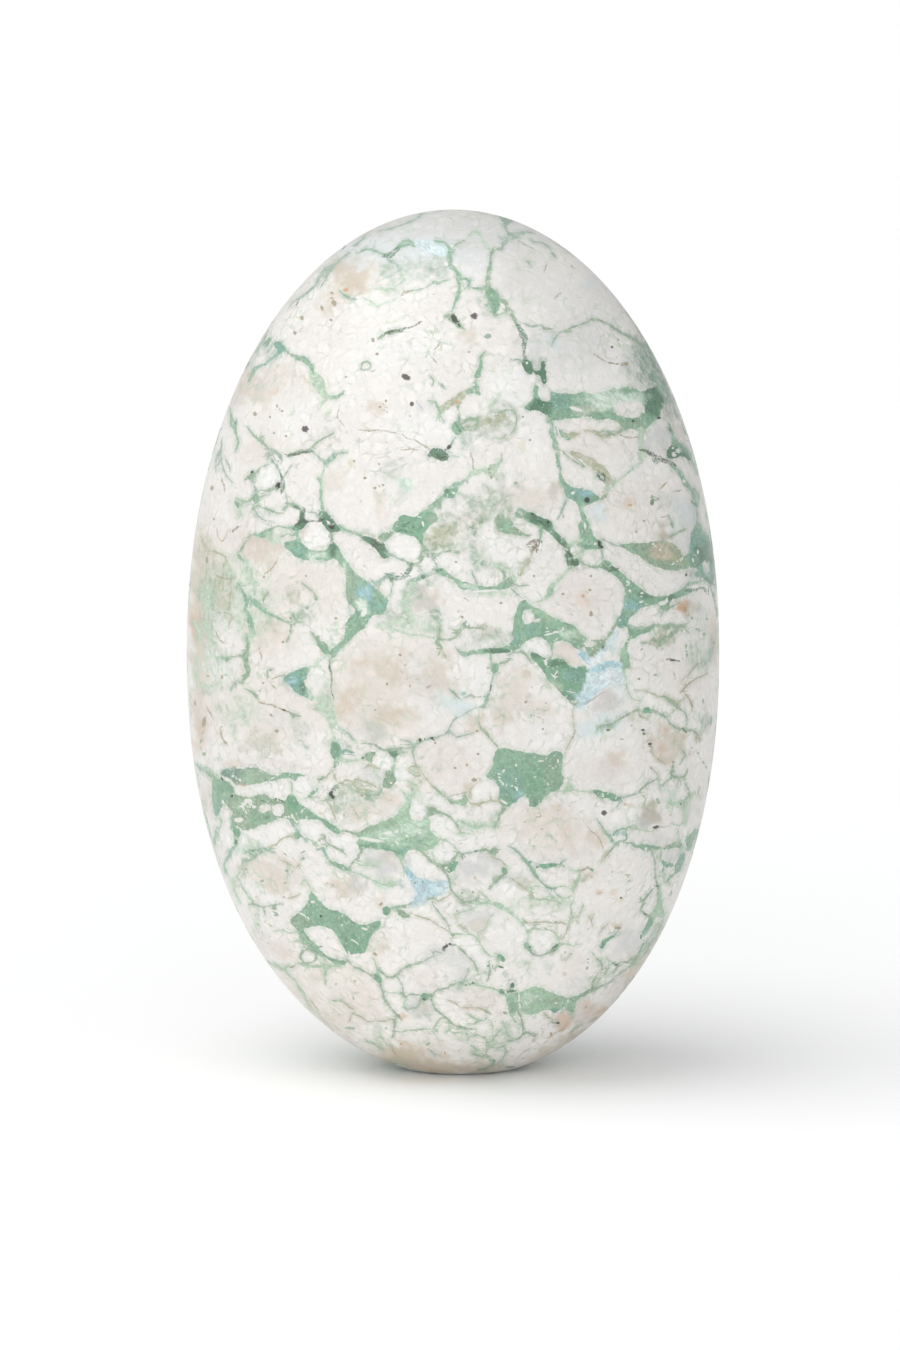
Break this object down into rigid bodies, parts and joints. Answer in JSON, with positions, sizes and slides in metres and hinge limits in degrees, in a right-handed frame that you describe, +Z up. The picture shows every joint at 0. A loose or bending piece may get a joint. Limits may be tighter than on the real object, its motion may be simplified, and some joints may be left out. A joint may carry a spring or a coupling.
{
  "type": "polished variscite stone",
  "caption": "Egg-shaped polished variscite stone that stands upright on a small flat ground across its lower end.",
  "frame": {"origin": "on the surface that the stone stands on, under the middle of its bounding box", "axes": "+Z up along the stone's long axis, +X to the right and -Y towards the front that the picture shows"},
  "size_m": [0.0678, 0.054, 0.11],
  "materials": {
    "variscite": "polished chalk-white breccia with green veins and pools"
  },
  "bodies": {
    "root": {"variscite_stone": "variscite"}
  },
  "joints": []
}
